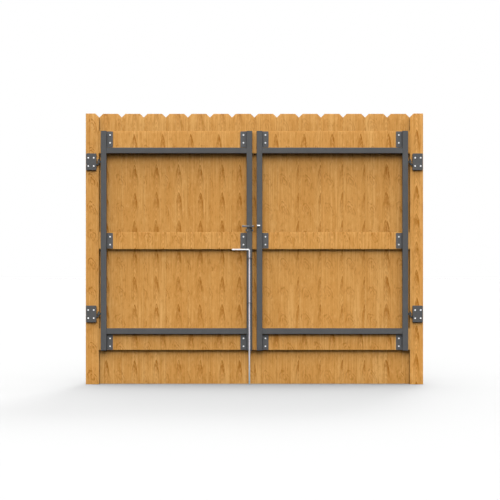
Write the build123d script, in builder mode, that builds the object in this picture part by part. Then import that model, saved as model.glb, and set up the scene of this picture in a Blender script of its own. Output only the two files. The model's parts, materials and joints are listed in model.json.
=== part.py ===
"""Double swing gate: two picket leaves on steel tube frames, hung between a pair of timber posts.

Millimetres. X runs to the right along the fence line, Y away from the framed side, Z up.
The origin is the middle of the left post's foot, at ground level.
"""
import os

from build123d import *

# Posts
POST_SIDE = 89.0
POST_HEIGHT = 1829.0
EAR = 25.0
HALF_OPENING = 1050.0

# Leaf outline, measured from the middle line of the gate
POST_GAP = 3.0
LEAF_GAP = 5.0
GROUND_GAP = 6.0

# Pickets and rails
PICKET_COUNT = 7
PICKET_THICK = 16.0
BOARD_GAP = 0.4
RAIL_THICK = 38.0
TOP_RAIL_HEIGHT = 151.0
TOP_RAIL_DROP = 119.0
MIDDLE_RAIL_HEIGHT = 115.0
BOTTOM_RAIL_HEIGHT = 147.0
BOTTOM_RAIL_RISE = 231.5

# Square tube frame
TUBE = 38.0
TUBE_WALL = 2.0
TUBE_CORNER = 3.0
MEETING_STILE_INSET = 12.5
HINGE_STILE_INSET = 11.5

# Tabs that carry the rails
TAB_WIDTH = 42.0
TAB_THICK = 5.0
TAB_CORNER = 4.0
TAB_END_GAP = 2.0
TAB_BAR_GAP = 4.0
TAB_RAIL_GAP = 5.0

# Hinges
HINGE_FORWARD = 16.0
BRACKET_WIDTH = 70.0
BRACKET_HEIGHT = 113.0
BRACKET_DEPTH = 24.0
BRACKET_WALL = 4.0
BRACKET_CORNER = 6.0
BRACKET_EDGE = 3.0
BRACKET_INSET = 3.0
LOWER_HINGE_RISE = 97.0
UPPER_HINGE_DROP = 57.0
PIN_RADIUS = 6.0
PIN_PLAY = 0.25
PIN_BEND = 12.0
ARM_BELOW_MID = 18.5
PIN_ABOVE_MID = 17.5
EYE_RADIUS = 11.0
EYE_HEIGHT = 13.0
EYE_PLAY = 0.3
LUG_THICK = 10.0

# Latch: a round bolt that slides in a housing, and a hook that takes it
LATCH_PLATE_THICK = 4.0
LATCH_PLATE_WIDTH = 36.0
LATCH_PLATE_HEIGHT = 49.0
LATCH_PLATE_RISE = 4.5
LATCH_STRAP_WIDTH = 51.0
LATCH_STRAP_HEIGHT = 16.0
LATCH_STRAP_CORNER = 3.0
BOLT_RADIUS = 6.0
BOLT_ABOVE_PLATE_FOOT = 35.0
BOLT_GRIP_RADIUS = 7.5
BOLT_GRIP_LENGTH = 13.0
BOLT_STROKE = 36.0
BOLT_STROKE_SPARE = 1.0
BOLT_TIP = 2.0
BOLT_PLAY = 0.3
HOUSING_INSET = 1.0
HOUSING_WIDTH = 18.0
HOUSING_WALL = 4.0
KEEPER_WIDTH = 20.0
KEEPER_WALL = 3.0
KEEPER_PLAY = 1.0
KEEPER_INSET = 2.5
KEEPER_HEIGHT = 9.0
KEEPER_CORNER = 2.5

# Drop rod
ROD_RADIUS = 5.2
ROD_STANDOFF = 11.5
ROD_BOTTOM = 3.0
ROD_HANDLE_END = 151.0
ROD_HANDLE_DROP = 2.5
ROD_BEND = 11.0
ROD_PLAY = 0.3
UPPER_GUIDE_DROP = 56.0
GUIDE_SPACING = 302.0
GUIDE_THICK = 3.0
GUIDE_WIDTH = 30.0
GUIDE_REACH = 24.0
GUIDE_CORNER = 8.0

# Derived places
GATE_X = POST_SIDE / 2 + HALF_OPENING
POST_FRONT_Y = -POST_SIDE / 2
RAIL_BACK_Y = POST_FRONT_Y + RAIL_THICK
PICKET_BACK_Y = RAIL_BACK_Y + PICKET_THICK
TUBE_Y = POST_FRONT_Y - TUBE / 2
FRAME_FRONT_Y = POST_FRONT_Y - TUBE
HINGE_Y = POST_FRONT_Y - HINGE_FORWARD
LEAF_INNER = LEAF_GAP / 2
LEAF_OUTER = HALF_OPENING - POST_GAP
PICKET_PITCH = (LEAF_OUTER - LEAF_INNER) / PICKET_COUNT
MEETING_STILE_MID = LEAF_INNER + MEETING_STILE_INSET + TUBE / 2
HINGE_STILE_MID = LEAF_OUTER - HINGE_STILE_INSET - TUBE / 2
STILE_INNER = MEETING_STILE_MID + TUBE / 2
STILE_OUTER = HINGE_STILE_MID - TUBE / 2
STILE_BOTTOM = BOTTOM_RAIL_RISE
STILE_TOP = POST_HEIGHT - TOP_RAIL_DROP
BOTTOM_RAIL = (STILE_BOTTOM, STILE_BOTTOM + BOTTOM_RAIL_HEIGHT)
TOP_RAIL = (STILE_TOP - TOP_RAIL_HEIGHT, STILE_TOP)
MIDDLE_Z = (sum(BOTTOM_RAIL) + sum(TOP_RAIL)) / (len(BOTTOM_RAIL) + len(TOP_RAIL))
MIDDLE_RAIL = (MIDDLE_Z - MIDDLE_RAIL_HEIGHT / 2, MIDDLE_Z + MIDDLE_RAIL_HEIGHT / 2)
TOP_CROSSBAR_Z = TOP_RAIL[0] + TUBE / 2
BOTTOM_CROSSBAR_Z = BOTTOM_RAIL[1] - TUBE / 2
TAB_SPANS = (
    (STILE_BOTTOM + TAB_END_GAP, BOTTOM_CROSSBAR_Z - TUBE / 2 - TAB_BAR_GAP),
    (MIDDLE_RAIL[0] + TAB_RAIL_GAP, MIDDLE_RAIL[1] - TAB_RAIL_GAP),
    (TOP_CROSSBAR_Z + TUBE / 2 + TAB_BAR_GAP, STILE_TOP - TAB_END_GAP),
)
BRACKET_MIDS = (BOTTOM_RAIL[1] + LOWER_HINGE_RISE, TOP_RAIL[0] - UPPER_HINGE_DROP)
LATCH_FOOT_Z = MIDDLE_RAIL[1] + LATCH_PLATE_RISE
BOLT_Z = LATCH_FOOT_Z + BOLT_ABOVE_PLATE_FOOT
HOUSING_SIDE = 2 * (BOLT_RADIUS + BOLT_PLAY + HOUSING_WALL)
BOLT_Y = FRAME_FRONT_Y - LATCH_PLATE_THICK - HOUSING_SIDE / 2
HOUSING_START = MEETING_STILE_MID - TUBE / 2 + HOUSING_INSET
HOUSING_END = HOUSING_START + HOUSING_WIDTH
GRIP_START = HOUSING_END + BOLT_STROKE + BOLT_STROKE_SPARE
KEEPER_START = MEETING_STILE_MID - TUBE / 2 + KEEPER_INSET
KEEPER_HOLE = 2 * (BOLT_RADIUS + KEEPER_PLAY)
ROD_HANDLE_Z = MIDDLE_RAIL[0] - ROD_HANDLE_DROP
GUIDE_MIDS = (
    ROD_HANDLE_Z - UPPER_GUIDE_DROP - GUIDE_SPACING,
    ROD_HANDLE_Z - UPPER_GUIDE_DROP,
)
ROD_Y = FRAME_FRONT_Y - ROD_STANDOFF
LEFT = -1
RIGHT = 1
SIDES = (("left", LEFT), ("right", RIGHT))

os.makedirs("parts", exist_ok=True)


def across(side, offset):
    """X of a point that lies offset from the middle line of the gate, on one side."""
    return GATE_X + side * offset


def facing(y):
    """Upright plane at depth y, seen from the framed side, with its normal towards the viewer."""
    return Plane.XZ.offset(-y)


def save(piece, name):
    """Label a finished piece and write it."""
    piece.label = name
    export_step(piece, "parts/" + name + ".step")


def make_post(side):
    """Square timber post with one dog-ear, on the side of the gateway."""
    inner = across(side, HALF_OPENING)
    outer = across(side, HALF_OPENING + POST_SIDE)
    with BuildPart() as post:
        with BuildSketch(facing(-POST_FRONT_Y)):
            with BuildLine():
                Polyline(
                    (inner, 0),
                    (outer, 0),
                    (outer, POST_HEIGHT),
                    (inner + side * EAR, POST_HEIGHT),
                    (inner, POST_HEIGHT - EAR),
                    close=True,
                )
            make_face()
        extrude(amount=POST_SIDE)
    return post.part


def make_picket(side, index):
    """Upright board, cut to a dog-ear at both top corners."""
    start = across(side, LEAF_INNER + index * PICKET_PITCH + BOARD_GAP / 2)
    end = across(side, LEAF_INNER + (index + 1) * PICKET_PITCH - BOARD_GAP / 2)
    with BuildPart() as picket:
        with BuildSketch(facing(PICKET_BACK_Y)):
            with BuildLine():
                Polyline(
                    (start, GROUND_GAP),
                    (end, GROUND_GAP),
                    (end, POST_HEIGHT - EAR),
                    (end - side * EAR, POST_HEIGHT),
                    (start + side * EAR, POST_HEIGHT),
                    (start, POST_HEIGHT - EAR),
                    close=True,
                )
            make_face()
        extrude(amount=PICKET_THICK)
    return picket.part


def make_rail(side, heights):
    """Horizontal timber rail over the whole width of a leaf."""
    low, high = heights
    with BuildPart() as rail:
        with BuildSketch(facing(RAIL_BACK_Y)):
            with Locations((across(side, (LEAF_INNER + LEAF_OUTER) / 2), (low + high) / 2)):
                Rectangle(LEAF_OUTER - LEAF_INNER, high - low)
        extrude(amount=RAIL_THICK)
    return rail.part


def make_stile(side, offset):
    """Upright square tube, closed by a welded cap at its top and open at its foot."""
    with BuildPart() as stile:
        with BuildSketch(Plane((across(side, offset), TUBE_Y, STILE_BOTTOM))):
            RectangleRounded(TUBE, TUBE, TUBE_CORNER)
        extrude(amount=STILE_TOP - STILE_BOTTOM)
        with BuildSketch(Plane((across(side, offset), TUBE_Y, STILE_BOTTOM))):
            RectangleRounded(TUBE - 2 * TUBE_WALL, TUBE - 2 * TUBE_WALL, TUBE_CORNER - TUBE_WALL)
        extrude(amount=STILE_TOP - STILE_BOTTOM - TUBE_WALL, mode=Mode.SUBTRACT)
    return stile.part


def make_crossbar(side, height):
    """Horizontal square tube between the stiles of one leaf."""
    start = min(across(side, STILE_INNER), across(side, STILE_OUTER))
    with BuildPart() as crossbar:
        with BuildSketch(Plane(origin=(start, TUBE_Y, height), x_dir=(0, 1, 0), z_dir=(1, 0, 0))):
            RectangleRounded(TUBE, TUBE, TUBE_CORNER)
            RectangleRounded(
                TUBE - 2 * TUBE_WALL,
                TUBE - 2 * TUBE_WALL,
                TUBE_CORNER - TUBE_WALL,
                mode=Mode.SUBTRACT,
            )
        extrude(amount=STILE_OUTER - STILE_INNER)
    return crossbar.part


def make_tabs(side, offset):
    """Three flat plates, welded to the inner side of one stile, that lie on the rails."""
    with BuildPart() as tabs:
        with BuildSketch(facing(POST_FRONT_Y)):
            for low, high in TAB_SPANS:
                with Locations((across(side, offset), (low + high) / 2)):
                    Rectangle(TAB_WIDTH, high - low)
        extrude(amount=TAB_THICK)
        right_of_middle = across(side, offset) > across(side, (LEAF_INNER + LEAF_OUTER) / 2)
        free_end = 0 if right_of_middle else -1
        fillet(tabs.edges().filter_by(Axis.Y).group_by(Axis.X)[free_end], TAB_CORNER)
    return tabs.part


def make_hinge_bracket(side, mid):
    """Pressed box on the post, with a bent pintle welded into its inner wall."""
    outer = HALF_OPENING + POST_SIDE - BRACKET_INSET
    inner = outer - BRACKET_WIDTH
    with BuildPart() as bracket:
        with BuildSketch(facing(POST_FRONT_Y)):
            with Locations((across(side, (inner + outer) / 2), mid)):
                RectangleRounded(BRACKET_WIDTH, BRACKET_HEIGHT, BRACKET_CORNER)
        extrude(amount=BRACKET_DEPTH)
        fillet(bracket.edges().group_by(Axis.Y)[0], BRACKET_EDGE)
        with BuildSketch(facing(POST_FRONT_Y)):
            with Locations((across(side, (inner + outer) / 2), mid)):
                RectangleRounded(
                    BRACKET_WIDTH - 2 * BRACKET_WALL,
                    BRACKET_HEIGHT - 2 * BRACKET_WALL,
                    BRACKET_CORNER - BRACKET_WALL,
                )
        extrude(amount=BRACKET_DEPTH - BRACKET_WALL, mode=Mode.SUBTRACT)
        with BuildLine(facing(HINGE_Y)) as pintle_path:
            FilletPolyline(
                (across(side, inner + BRACKET_WALL), mid - ARM_BELOW_MID),
                (across(side, HALF_OPENING), mid - ARM_BELOW_MID),
                (across(side, HALF_OPENING), mid + PIN_ABOVE_MID),
                radius=PIN_BEND,
            )
        with BuildSketch(Plane(origin=pintle_path.line @ 0, z_dir=pintle_path.line % 0)):
            Circle(PIN_RADIUS)
        sweep(path=pintle_path.line)
    return bracket.part


def make_hinge_eyes(side):
    """Two rings on short lugs, welded to the outer side of a hinge stile."""
    reach = HALF_OPENING - HINGE_STILE_MID - TUBE / 2
    with BuildPart() as eyes:
        for mid in BRACKET_MIDS:
            foot = mid - ARM_BELOW_MID + PIN_BEND + EYE_PLAY
            with BuildSketch(Plane((across(side, HALF_OPENING), HINGE_Y, foot))):
                Circle(EYE_RADIUS)
                with Locations((-side * reach / 2, 0)):
                    Rectangle(reach, LUG_THICK)
                Circle(PIN_RADIUS + PIN_PLAY, mode=Mode.SUBTRACT)
            extrude(amount=EYE_HEIGHT)
    return eyes.part


def make_latch_body():
    """Plate and cross strap on the left meeting stile, with the housing that guides the bolt."""
    with BuildPart() as body:
        with BuildSketch(facing(FRAME_FRONT_Y)):
            with Locations((across(LEFT, MEETING_STILE_MID), LATCH_FOOT_Z + LATCH_PLATE_HEIGHT / 2)):
                Rectangle(LATCH_PLATE_WIDTH, LATCH_PLATE_HEIGHT)
            with Locations((across(LEFT, MEETING_STILE_MID), LATCH_FOOT_Z + LATCH_STRAP_HEIGHT / 2)):
                RectangleRounded(LATCH_STRAP_WIDTH, LATCH_STRAP_HEIGHT, LATCH_STRAP_CORNER)
        extrude(amount=LATCH_PLATE_THICK)
        with BuildSketch(facing(FRAME_FRONT_Y - LATCH_PLATE_THICK)):
            with Locations((across(LEFT, (HOUSING_START + HOUSING_END) / 2), BOLT_Z)):
                Rectangle(HOUSING_WIDTH, HOUSING_SIDE)
        extrude(amount=HOUSING_SIDE)
        fillet(body.edges().filter_by(Axis.X).group_by(Axis.Y)[0], HOUSING_WALL)
        with BuildSketch(Plane.YZ.offset(across(LEFT, HOUSING_END))):
            with Locations((BOLT_Y, BOLT_Z)):
                Circle(BOLT_RADIUS + BOLT_PLAY)
        extrude(amount=HOUSING_WIDTH, mode=Mode.SUBTRACT)
    return body.part


def make_latch_bolt():
    """Round bolt with a thicker grip at its tail and a chamfered tip."""
    with BuildPart() as bolt:
        with BuildSketch(Plane.YZ.offset(across(LEFT, GRIP_START))):
            with Locations((BOLT_Y, BOLT_Z)):
                Circle(BOLT_RADIUS)
        extrude(amount=GRIP_START - LEAF_INNER)
        chamfer(bolt.edges().group_by(Axis.X)[-1], BOLT_TIP)
        with BuildSketch(Plane.YZ.offset(across(LEFT, GRIP_START + BOLT_GRIP_LENGTH))):
            with Locations((BOLT_Y, BOLT_Z)):
                Circle(BOLT_GRIP_RADIUS)
        extrude(amount=BOLT_GRIP_LENGTH)
        fillet(bolt.edges().group_by(Axis.X)[0], BOLT_TIP)
    return bolt.part


def make_latch_keeper():
    """Hooked strap on the right meeting stile that the bolt slides under."""
    inside = BOLT_Z + KEEPER_HOLE / 2
    foot = inside + KEEPER_WALL - KEEPER_HEIGHT
    front = BOLT_Y - KEEPER_HOLE / 2 - KEEPER_WALL
    with BuildPart() as keeper:
        with BuildSketch(Plane.YZ.offset(across(RIGHT, KEEPER_START))):
            with BuildLine():
                Polyline(
                    (FRAME_FRONT_Y, inside),
                    (FRAME_FRONT_Y, inside + KEEPER_WALL),
                    (front, inside + KEEPER_WALL),
                    (front, foot),
                    (front + KEEPER_WALL, foot),
                    (front + KEEPER_WALL, inside),
                    close=True,
                )
            make_face()
        extrude(amount=KEEPER_WIDTH)
        top_edges = keeper.edges().filter_by(Axis.X).group_by(Axis.Z)[-1]
        fillet(top_edges.sort_by(Axis.Y)[0], KEEPER_CORNER)
    return keeper.part


def make_drop_rod():
    """Round rod down to the ground, bent over at the top into a handle."""
    rod_x = across(LEFT, MEETING_STILE_MID)
    with BuildPart() as rod:
        with BuildLine(facing(ROD_Y)) as rod_path:
            FilletPolyline(
                (rod_x, ROD_BOTTOM),
                (rod_x, ROD_HANDLE_Z),
                (across(LEFT, ROD_HANDLE_END), ROD_HANDLE_Z),
                radius=ROD_BEND,
            )
        with BuildSketch(Plane(origin=rod_path.line @ 0, z_dir=rod_path.line % 0)):
            Circle(ROD_RADIUS)
        sweep(path=rod_path.line)
    return rod.part


def make_rod_guides():
    """Two flat tabs on the left meeting stile, each with a hole that the rod slides in."""
    rod_x = across(LEFT, MEETING_STILE_MID)
    with BuildPart() as guides:
        for mid in GUIDE_MIDS:
            with BuildSketch(Plane((rod_x, FRAME_FRONT_Y, mid - GUIDE_THICK / 2))):
                with Locations((0, -GUIDE_REACH / 2)):
                    Rectangle(GUIDE_WIDTH, GUIDE_REACH)
                with Locations((0, -ROD_STANDOFF)):
                    Circle(ROD_RADIUS + ROD_PLAY, mode=Mode.SUBTRACT)
            extrude(amount=GUIDE_THICK)
        fillet(guides.edges().filter_by(Axis.Z).group_by(Axis.Y)[0], GUIDE_CORNER)
    return guides.part


for name, side in SIDES:
    save(make_post(side), name + "_post")
    save(make_hinge_bracket(side, BRACKET_MIDS[0]), name + "_lower_hinge_bracket")
    save(make_hinge_bracket(side, BRACKET_MIDS[1]), name + "_upper_hinge_bracket")
    save(make_hinge_eyes(side), name + "_hinge_eyes")
    save(make_stile(side, HINGE_STILE_MID), name + "_hinge_stile")
    save(make_stile(side, MEETING_STILE_MID), name + "_meeting_stile")
    save(make_crossbar(side, TOP_CROSSBAR_Z), name + "_top_crossbar")
    save(make_crossbar(side, BOTTOM_CROSSBAR_Z), name + "_bottom_crossbar")
    save(make_tabs(side, STILE_OUTER - TAB_WIDTH / 2), name + "_hinge_stile_tabs")
    save(make_tabs(side, STILE_INNER + TAB_WIDTH / 2), name + "_meeting_stile_tabs")
    save(make_rail(side, TOP_RAIL), name + "_top_rail")
    save(make_rail(side, MIDDLE_RAIL), name + "_middle_rail")
    save(make_rail(side, BOTTOM_RAIL), name + "_bottom_rail")
    for index in range(PICKET_COUNT):
        save(make_picket(side, index), name + "_picket_" + str(index + 1))

save(make_latch_body(), "latch_body")
save(make_latch_bolt(), "latch_bolt")
save(make_latch_keeper(), "latch_keeper")
save(make_drop_rod(), "drop_rod")
save(make_rod_guides(), "drop_rod_guides")
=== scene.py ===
import json
import math

import bpy
import numpy as np
from bpy.props import FloatProperty, FloatVectorProperty, PointerProperty
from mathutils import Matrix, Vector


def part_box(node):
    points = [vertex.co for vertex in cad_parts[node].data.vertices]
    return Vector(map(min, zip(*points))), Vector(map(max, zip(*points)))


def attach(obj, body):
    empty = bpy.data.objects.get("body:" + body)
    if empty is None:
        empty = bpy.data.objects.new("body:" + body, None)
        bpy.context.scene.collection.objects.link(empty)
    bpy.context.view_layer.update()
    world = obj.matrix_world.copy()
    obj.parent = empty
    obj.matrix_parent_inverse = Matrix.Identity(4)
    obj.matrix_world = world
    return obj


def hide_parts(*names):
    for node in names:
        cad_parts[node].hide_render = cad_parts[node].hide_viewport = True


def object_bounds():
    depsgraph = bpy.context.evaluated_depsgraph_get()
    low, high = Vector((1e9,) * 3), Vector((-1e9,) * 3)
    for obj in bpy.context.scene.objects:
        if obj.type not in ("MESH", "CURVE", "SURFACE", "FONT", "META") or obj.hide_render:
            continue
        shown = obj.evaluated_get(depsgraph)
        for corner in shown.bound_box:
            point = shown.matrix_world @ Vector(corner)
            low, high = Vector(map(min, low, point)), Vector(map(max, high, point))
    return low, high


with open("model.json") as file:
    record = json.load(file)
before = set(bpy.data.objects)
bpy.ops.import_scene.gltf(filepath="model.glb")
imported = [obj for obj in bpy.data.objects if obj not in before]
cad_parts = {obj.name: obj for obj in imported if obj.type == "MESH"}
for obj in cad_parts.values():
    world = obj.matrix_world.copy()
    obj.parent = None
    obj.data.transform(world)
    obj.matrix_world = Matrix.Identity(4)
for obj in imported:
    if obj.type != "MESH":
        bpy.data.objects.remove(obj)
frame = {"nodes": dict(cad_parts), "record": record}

bl_info = {
    "name": "Picket gate finish",
    "version": (1, 0, 0),
    "blender": (4, 5, 0),
    "location": "View3D > Sidebar > Gate",
    "description": "Timber boards, steel coat, fasteners and studio for a double swing gate",
    "category": "Object",
}

CAD_BOX = [list(corner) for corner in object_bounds()]
MM = 0.001
FULL_TURN = 2.0 * math.pi
SHARP_EDGE = math.radians(32.0)
LEFT, RIGHT = (-1.0, 0.0, 0.0), (1.0, 0.0, 0.0)
FRONT, BACK = (0.0, -1.0, 0.0), (0.0, 1.0, 0.0)
DOWN, UP = (0.0, 0.0, -1.0), (0.0, 0.0, 1.0)

SIDES = ("left", "right")
STILES = ("hinge", "meeting")
RAILS = ("bottom", "middle", "top")
HINGES = ("lower", "upper")
PICKETS = tuple(range(1, 8))
# Way along X from a post to the middle of the gate
INWARD = {"left": 1.0, "right": -1.0}

# Where a flame's point lies, in millimetres: aside from the board's middle, and up from its foot
PICKET_FLAME_ASIDE = {
    "left": (-30.0, 9.0, 9.0, 9.0, 9.0, 9.0, -30.0),
    "right": (-84.0, 71.0, 71.0, 71.0, 71.0, 71.0, -74.0),
}
FLAME_ASIDE = {"left": 95.0, "right": 0.0}
PICKET_FLAME_UP, POST_FLAME_UP = 1473.0, 1479.0
RAIL_FLAME_UP = {"bottom": 115.0, "middle": -10.0, "top": 111.0}
FIGURE_PLAY = 3.0 * MM
# First random seed of each kind of board, and the step from the left side to the right
PICKET_SEED, RAIL_SEED, POST_SEED = 100, 200, 300
SIDE_SEEDS = 20
# Points along a long board and along a rail
LONG_ROWS, RAIL_ROWS = 26, 8
# Flat points across a board's front, points on an eased corner, and rows and turn of an eased end
FLAT_POINTS, CORNER_POINTS, END_ROWS, END_TURN = 7, 5, 4, math.radians(70.0)
# Share of the flames, share of the growth lines, and lift of the colour
PICKET_LOOK, RAIL_LOOK = (1.0, 0.30, 1.03), (1.0, 0.30, 1.05)
POST_LOOK = {"left": (1.5, 0.34, 1.06), "right": (1.0, 0.34, 1.12)}
# Eased edge of a post over that of a board
POST_EASE = 1.3

# Figure of a flat-sawn board
FIGURE_WIDE, FIGURE_TALL = 190.0 * MM, 189.0 * MM
RINGS = 6.0
ARCH_STEEP, ARCH_ROUND = 6.2, 11.0 * MM
SIDE_STEEP, FRONT_SHIFT = 9.0, 1.3
WANDER = 16.0 * MM
# Steps in the noise that set boards of another tone and neighbouring figures apart
TONE_STEP, PLACE_STEP = 7.3, 3.1
FLAME_NEAR, FLAME_LEAN = (9.0 * MM, 29.0 * MM), 12.0 * MM
WHORL_WIDE, WHORL_TALL, WHORL_DOWN = 27.0 * MM, 40.0 * MM, 112.0 * MM
WHORL_SLANT, WHORL_CURL, WHORL_LOOP = 0.75, 1.1, 0.62
WHORL_RIM, WHORL_FOOT = (1.05, 1.85), (-45.0 * MM, 5.0 * MM)
HEART_DEPTH, YEAR, YEAR_PLAY = 75.0 * MM, 5.2 * MM, 1.2 * MM
HEADS = (1.705, 1.725)
# Bands of a cycle: where a line starts and is full, then where it starts to fade and is gone
RING_BAND, YEAR_BAND = (0.25, 0.80, 0.86, 1.0), (0.30, 0.85, 0.90, 1.0)
FLAME_BAND, SPECK_BAND = (0.40, 0.82, 0.955, 1.0), (0.26, 0.36, 0.40, 0.52)
LOOP_BAND = (0.25, 0.75, 0.80, 1.0)
# Noise: scale of each of three parts, detail and roughness
SLOW_NOISE = ((14.0, 1.0, 3.2), 2.0, 0.5)
PATCH_NOISE = ((110.0, 1.0, 42.0), 2.0, 0.5)
CURL_NOISE = ((34.0, 1.0, 22.0), 1.0, 0.5)
STREAK_NOISE = ((210.0, 1.0, 2.4), 3.0, 0.6)
PORE_NOISE = ((900.0, 900.0, 11.0), 2.0, 0.5)
BROAD_NOISE = ((9.0, 1.0, 1.1), 1.0, 0.5)
FLECK_NOISE = ((75.0, 1.0, 24.0), 2.0, 0.6)
SCUFF_NOISE = ((30.0, 420.0, 420.0), 3.0, 0.5)
DRAWN_NOISE = ((1400.0, 1400.0, 40.0), 2.0, 0.5)
# Even noise: scale, detail and roughness
PEEL_NOISE, GRIT_NOISE = (620.0, 2.0, 0.5), (2400.0, 1.0, 0.5)
CLOUD_NOISE, DUST_NOISE = (5.0, 3.0, 0.6), (23.0, 4.0, 0.65)
DULL_NOISE, CRYSTAL_SCALE = (38.0, 4.0, 0.6), 420.0
# Steps of the masks: the value at which each starts, and the value at which it is full
PATCHY_STEP, PALE_STEP, DARK_STEP = (0.34, 0.60), (0.42, 0.78), (0.52, 0.26)
DARK_FLECK_STEP, PALE_FLECK_STEP, PORE_STEP = (0.54, 0.72), (0.46, 0.28), (0.30, 0.16)
DUST_STEP, GRIT_STEP, BARE_STEP, DULL_STEP = (0.42, 0.72), (0.40, 0.72), (0.30, 0.62), (0.40, 0.75)

WHITE, GREY = (1.0, 1.0, 1.0, 1.0), (0.5, 0.5, 0.5, 1.0)
SAWN_SHADE = (0.62, 0.62, 0.62, 1.0)
DUST_COLOUR, GRIT_COLOUR = (0.30, 0.29, 0.27, 1.0), (0.22, 0.22, 0.23, 1.0)
# Height under which the rod is weathered, and the heights over which its plate is painted brighter as a
# painted highlight
WEATHERED_UNDER, HANDLE_HIGHLIGHT_FROM = 0.28, (0.892, 0.904)
# Colour setting, dust, rubbed share, depth and strength of the bump, and gloss
COATS = {
    "dark powder coat": ("coat_colour", 0.08, 0.0, 0.12 * MM, 0.45, 0.5),
    # The tabs' coat is the frame's coat painted lighter: painted light that evens out their shade beside the
    # stiles
    "thin powder coat": ("tab_lightened_colour", 0.10, 0.0, 0.12 * MM, 0.45, 0.5),
    "rubbed powder coat": ("coat_colour", 0.04, 0.85, 0.10 * MM, 0.40, 0.5),
    "black screw steel": ("plug_and_painted_shadow_colour", 0.02, 0.04, 0.05 * MM, 0.30, 0.2),
    "black plug plastic": ("plug_and_painted_shadow_colour", 0.03, 0.0, 0.08 * MM, 0.30, 0.4),
}
# Colour setting, what dull patches keep of it, share of the weathered foot and of the painted highlight, and
# metal
ZINCS = {
    "bright zinc": ("zinc_colour", (0.5914, 0.6129, 0.6349), 0.0, 1.0),
    "dull zinc": ("rod_colour", (0.82, 0.82, 0.82), 1.0, 0.35),
}
# Depth and strength of the bump, and the timber's gloss
TIMBER_BUMP, TIMBER_STRENGTH, TIMBER_GLOSS = 0.5 * MM, 0.55, 0.18
ZINC_BUMP, ZINC_STRENGTH = 0.05 * MM, 0.30
# Attribute and output that feed the grain's inputs
TIMBER_READS = {
    "Grain": ("grain", "Vector"), "Front": ("front", "Fac"), "Tone": ("tone", "Fac"), "End": ("end", "Fac")}

# Fasteners and welds
ROUND_SIDES, NAIL_SIDES, PLUG_SIDES = 24, 12, 48
TAB_BOLT_LIFT = {"bottom": -2.0 * MM, "middle": 0.0, "top": 3.0 * MM}
TAB_BOLT_ASIDE = {"hinge": 2.0 * MM, "meeting": 0.0}
TAB_BOLT_STEP = 53.0 * MM
BRACKET_BOLT_IN, BRACKET_BOLT_DOWN = 34.0 * MM, 1.0 * MM
BRACKET_BOLT_X, BRACKET_BOLT_Z = 18.5 * MM, 27.5 * MM
# The latch screws are real fittings whose black stands in for the shadow by the latch bolt: painted shadow
LATCH_PLATE, LATCH_SCREW_IN, LATCH_SCREW_UP = 4.0 * MM, 6.0 * MM, (7.5 * MM, 20.5 * MM)
LATCH_PIN_IN, LATCH_PIN_UP = 12.0 * MM, 8.5 * MM
# The keeper's screw sits in the shade under the keeper, black and enlarged: a painted shadow
KEEPER_SHADOW_SCREW_DOWN, KEEPER_SHADOW_SCREW_SIZE = 6.0 * MM, 1.15
NAIL_ASIDE, NAIL_UP, NAIL_SUNK = 44.0 * MM, 9.0 * MM, 0.2 * MM
TUBE_WELD_INSET, TAB_WELD_INSET, PLATE_WELD_INSET = 3.0 * MM, 8.0 * MM, 5.0 * MM
EYE_HEIGHT, LUG_HALF, GUIDE_PLATE = 13.0 * MM, 5.0 * MM, 3.0 * MM
EYE_WELD, LATCH_WELD, GUIDE_WELD = 0.8, 0.8, 0.6
# Fewest rows of a weld bead, rows to a ripple, points on its arc, and shares of its leg
BEAD_ROWS, RIPPLE_ROWS, BEAD_POINTS = 12, 5, 6
BEAD_RIPPLE, BEAD_TIP, BEAD_ROOT = 0.10, 0.04, 0.08
PINTLE_IN, PINTLE_BACK, PINTLE_DOWN = 69.8 * MM, 8.0 * MM, 18.5 * MM
FLOOR_REACH, VIEW_REACH, SENSOR = 60.0, 200.0, 36.0


def leaf_of(side):
    """Name of the body that carries the pieces of one leaf."""
    return side + "_leaf"


def node_box(node):
    """Lowest and highest corner of a CAD node as two arrays."""
    low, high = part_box(node)
    return np.array(low), np.array(high)


def outer_edge(side, node):
    """The X of a node's edge on the far side from the gate's middle."""
    return node_box(node)[SIDES.index(side)][0]


def tab_span(side, level):
    """Lowest and highest point of a rail's height that the crossbar in front of it leaves free."""
    low, high = (corner[2] for corner in node_box(f"{side}_{level}_rail"))
    if level == "top":
        low = node_box(side + "_top_crossbar")[1][2]
    if level == "bottom":
        high = node_box(side + "_bottom_crossbar")[0][2]
    return low, high


# Sizes and colours


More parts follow.
